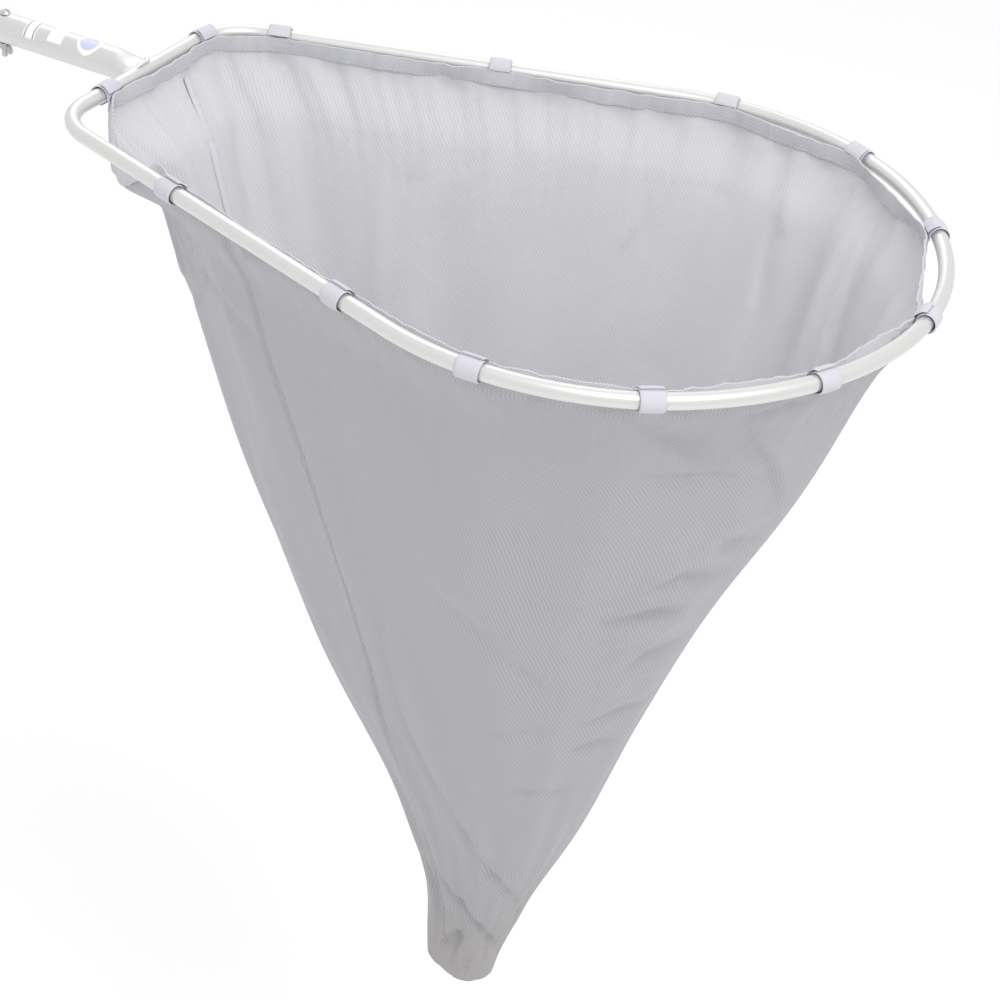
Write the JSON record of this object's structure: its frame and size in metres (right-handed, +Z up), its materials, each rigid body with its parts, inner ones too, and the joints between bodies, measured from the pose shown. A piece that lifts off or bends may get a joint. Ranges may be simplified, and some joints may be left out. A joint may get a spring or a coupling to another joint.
{
  "type": "leaf skimmer net",
  "caption": "Hand-held leaf skimmer: welded aluminium hoop and handle with a deep mesh bag hung from hook-and-loop tabs, and a cross bolt with a wing nut for the pole.",
  "frame": {"origin": "on the handle's axis at its open end, where the pole is joined", "axes": "+X runs along the handle to the front of the hoop, the hoop lies level in the XY plane, +Z is up out of the bag's mouth"},
  "size_m": [0.8631, 0.5498, 0.8111],
  "materials": {
    "handle_metal": "satin",
    "hoop_metal": "satin",
    "weld_metal": "as welded",
    "bolt_metal": "satin",
    "nut_metal": "satin",
    "webbing": "woven",
    "hem_cloth": "stitched",
    "mesh_cloth": "fine mesh",
    "seam_cloth": "woven tape",
    "label_film": "printed film"
  },
  "bodies": {
    "frame": {"handle_tube": "handle_metal", "welds": "weld_metal", "hoop_base": "hoop_metal", "hoop_sides": "hoop_metal", "hoop_shoulders": "hoop_metal", "hoop_nose": "hoop_metal", "tab_straps": "webbing", "hem": "hem_cloth", "bag_body": "mesh_cloth", "bag_base_panel": "mesh_cloth", "bag_toe": "mesh_cloth", "seam_tapes": "seam_cloth", "box_label": "label_film", "plain_label": "label_film", "round_label": "label_film"},
    "cross_bolt": {"bolt": "bolt_metal"},
    "nut": {"wing_nut": "nut_metal"},
    "free_tab_end_01": {"tab_end_01": "webbing"},
    "free_tab_end_02": {"tab_end_02": "webbing"},
    "free_tab_end_03": {"tab_end_03": "webbing"},
    "free_tab_end_04": {"tab_end_04": "webbing"},
    "free_tab_end_05": {"tab_end_05": "webbing"},
    "free_tab_end_06": {"tab_end_06": "webbing"},
    "free_tab_end_07": {"tab_end_07": "webbing"},
    "free_tab_end_08": {"tab_end_08": "webbing"},
    "free_tab_end_09": {"tab_end_09": "webbing"},
    "free_tab_end_10": {"tab_end_10": "webbing"},
    "free_tab_end_11": {"tab_end_11": "webbing"},
    "free_tab_end_12": {"tab_end_12": "webbing"},
    "free_tab_end_13": {"tab_end_13": "webbing"}
  },
  "joints": [
    {"name": "nut_turn", "type": "hinge", "parent": "frame", "child": "nut", "pos_m": [0.038, 0, -0.0158], "axis": [0, 0, -1], "range_deg": [0, 2880]},
    {"name": "bolt_lift", "type": "slide", "parent": "frame", "child": "cross_bolt", "axis": [0, 0, 1], "range_m": [0, 0.00846]},
    {"name": "tab_open_01", "type": "hinge", "parent": "frame", "child": "free_tab_end_01", "pos_m": [0.17361, 0.09097, 0.00965], "axis": [-0.1532, -0.9882, 0], "range_deg": [0, 110]},
    {"name": "tab_open_02", "type": "hinge", "parent": "frame", "child": "free_tab_end_02", "pos_m": [0.22175, 0.13715, 0.00965], "axis": [-0.9397, -0.342, 0], "range_deg": [0, 110]},
    {"name": "tab_open_03", "type": "hinge", "parent": "frame", "child": "free_tab_end_03", "pos_m": [0.39935, 0.2018, 0.00965], "axis": [-0.9397, -0.342, 0], "range_deg": [0, 110]},
    {"name": "tab_open_04", "type": "hinge", "parent": "frame", "child": "free_tab_end_04", "pos_m": [0.58282, 0.26415, 0.00965], "axis": [-0.9884, -0.1519, 0], "range_deg": [0, 110]},
    {"name": "tab_open_05", "type": "hinge", "parent": "frame", "child": "free_tab_end_05", "pos_m": [0.71036, 0.24477, 0.00965], "axis": [-0.8987, 0.4386, 0], "range_deg": [0, 110]},
    {"name": "tab_open_06", "type": "hinge", "parent": "frame", "child": "free_tab_end_06", "pos_m": [0.81013, 0.15195, 0.00965], "axis": [-0.5347, 0.845, 0], "range_deg": [0, 110]},
    {"name": "tab_open_07", "type": "hinge", "parent": "frame", "child": "free_tab_end_07", "pos_m": [0.85405, 0.00832, 0.00965], "axis": [-0.0293, 0.9996, 0], "range_deg": [0, 110]},
    {"name": "tab_open_08", "type": "hinge", "parent": "frame", "child": "free_tab_end_08", "pos_m": [0.173, -0.053, 0.00965], "axis": [0, -1, 0], "range_deg": [0, 110]},
    {"name": "tab_open_09", "type": "hinge", "parent": "frame", "child": "free_tab_end_09", "pos_m": [0.3082, -0.16862, 0.00965], "axis": [0.9397, -0.342, 0], "range_deg": [0, 110]},
    {"name": "tab_open_10", "type": "hinge", "parent": "frame", "child": "free_tab_end_10", "pos_m": [0.49144, -0.23531, 0.00965], "axis": [0.9397, -0.342, 0], "range_deg": [0, 110]},
    {"name": "tab_open_11", "type": "hinge", "parent": "frame", "child": "free_tab_end_11", "pos_m": [0.61569, -0.26665, 0.00965], "axis": [1, 0.0003, 0], "range_deg": [0, 110]},
    {"name": "tab_open_12", "type": "hinge", "parent": "frame", "child": "free_tab_end_12", "pos_m": [0.73632, -0.22978, 0.00965], "axis": [0.8293, 0.5588, 0], "range_deg": [0, 110]},
    {"name": "tab_open_13", "type": "hinge", "parent": "frame", "child": "free_tab_end_13", "pos_m": [0.82437, -0.12669, 0.00965], "axis": [0.4459, 0.8951, 0], "range_deg": [0, 110]}
  ],
  "couplings": [
    {"joint": "nut_turn", "follows": "bolt_lift", "rad_per_m": 5936.8}
  ]
}
